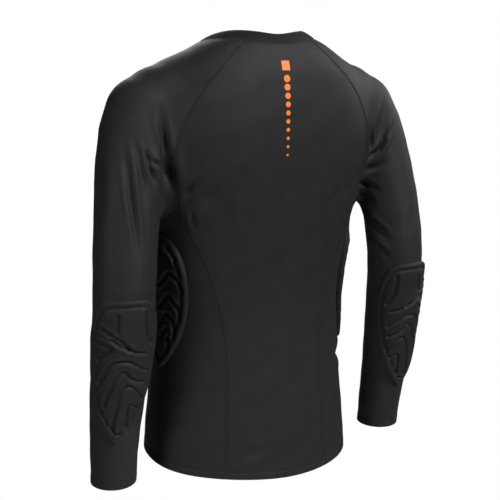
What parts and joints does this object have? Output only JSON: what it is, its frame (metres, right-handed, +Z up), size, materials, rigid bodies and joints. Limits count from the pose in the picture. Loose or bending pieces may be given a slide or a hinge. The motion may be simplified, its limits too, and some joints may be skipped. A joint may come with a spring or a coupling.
{
  "type": "padded compression shirt",
  "caption": "Close-fitting long-sleeved knit shirt with raglan sleeves, a low rib collar and foam flex pads at the elbows and sides.",
  "frame": {"origin": "on the wearer's upright middle line at the height of the neck opening, where the shoulders carry the shirt", "axes": "+Z up along the wearer, the front faces -Y, the wearer's left arm is at +X"},
  "size_m": [0.5955, 0.2625, 0.7191],
  "materials": {
    "cloth": "fine stretch knit, soft sheen",
    "pad": "matt brushed knit pressed over foam",
    "rib": "matt rib knit"
  },
  "bodies": {
    "root": {"back_panel": "cloth", "front_panel": "cloth", "side_panel_left": "cloth", "side_panel_right": "cloth", "sleeve_left": "cloth", "sleeve_right": "cloth", "elbow_pad_left": "pad", "elbow_pad_right": "pad", "side_pad_left": "pad", "side_pad_right": "pad", "collar": "rib"}
  },
  "joints": []
}
